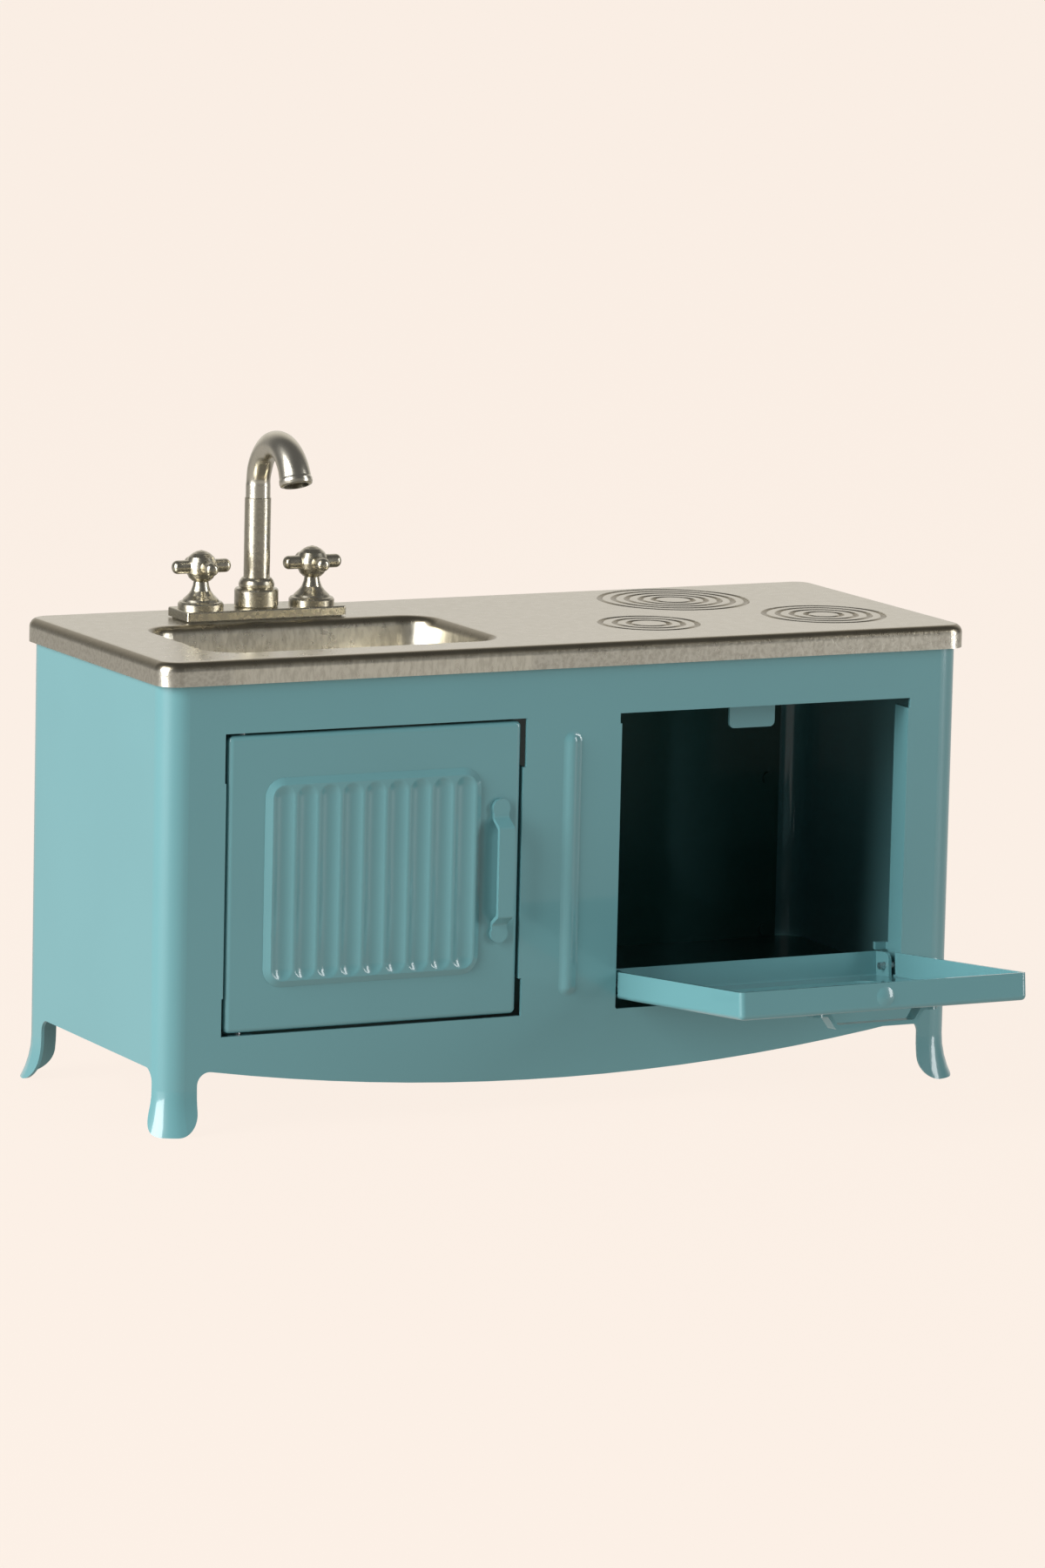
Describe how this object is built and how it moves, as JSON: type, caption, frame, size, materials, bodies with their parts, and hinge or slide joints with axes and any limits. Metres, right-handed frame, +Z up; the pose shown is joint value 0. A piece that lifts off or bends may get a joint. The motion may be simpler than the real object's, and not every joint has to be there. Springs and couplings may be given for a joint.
{
  "type": "toy kitchen",
  "caption": "Doll-scale pressed-metal kitchen unit with sink, mixer tap, hob rings, side-hung cupboard door and drop-down oven door, on flared feet.",
  "frame": {"origin": "on the floor, under the middle of the outline with the oven door open", "axes": "+X to the right along the worktop as seen from the doors, -Y out of the doors, +Z up"},
  "size_m": [0.1672, 0.1128, 0.1218],
  "materials": {
    "blue_enamel": "glossy dusty-blue enamel",
    "satin_nickel": "satin nickel plate with a fine pebbled grain on the rim and basin",
    "cast_nickel": "rough-cast nickel plate",
    "zinc_steel": "zinc-plated steel"
  },
  "bodies": {
    "cabinet": {"cabinet_shell": "blue_enamel", "back_panel": "blue_enamel", "back_panel_rivets": "blue_enamel", "floor_panel": "blue_enamel", "countertop": "satin_nickel", "oven_hinge_pins": "zinc_steel", "cupboard_hinge_pins": "zinc_steel", "tap_plate": "cast_nickel", "tap_screws": "zinc_steel", "tap_washers": "zinc_steel", "spout_collar": "cast_nickel", "spout_column": "cast_nickel", "left_tap_base": "cast_nickel", "right_tap_base": "cast_nickel"},
    "cupboard_door": {"cupboard_door": "blue_enamel", "cupboard_handle": "blue_enamel", "cupboard_handle_washers": "zinc_steel"},
    "oven_door": {"oven_door": "blue_enamel", "oven_handle": "blue_enamel", "oven_handle_washers": "zinc_steel"},
    "left_tap": {"left_tap_handle": "cast_nickel", "left_tap_push_nut": "zinc_steel"},
    "right_tap": {"right_tap_handle": "cast_nickel", "right_tap_push_nut": "zinc_steel"},
    "spout": {"spout": "cast_nickel", "spout_push_nut": "zinc_steel"}
  },
  "joints": [
    {"name": "oven_door_hinge", "type": "hinge", "parent": "cabinet", "child": "oven_door", "pos_m": [0.04013, -0.0056, 0.02165], "axis": [-1, 0, 0], "range_deg": [0, 84.4]},
    {"name": "cupboard_door_hinge", "type": "hinge", "parent": "cabinet", "child": "cupboard_door", "pos_m": [-0.06545, -0.0056, 0.0452], "axis": [0, 0, -1], "range_deg": [0, 110]},
    {"name": "left_tap_turn", "type": "hinge", "parent": "cabinet", "child": "left_tap", "pos_m": [-0.0528, 0.04125, 0.08815], "axis": [0, 0, 1], "continuous": true},
    {"name": "right_tap_turn", "type": "hinge", "parent": "cabinet", "child": "right_tap", "pos_m": [-0.0302, 0.04125, 0.08815], "axis": [0, 0, 1], "continuous": true},
    {"name": "spout_swivel", "type": "hinge", "parent": "cabinet", "child": "spout", "pos_m": [-0.0415, 0.04125, 0.10855], "axis": [0, 0, 1], "range_deg": [-90, 90]}
  ]
}
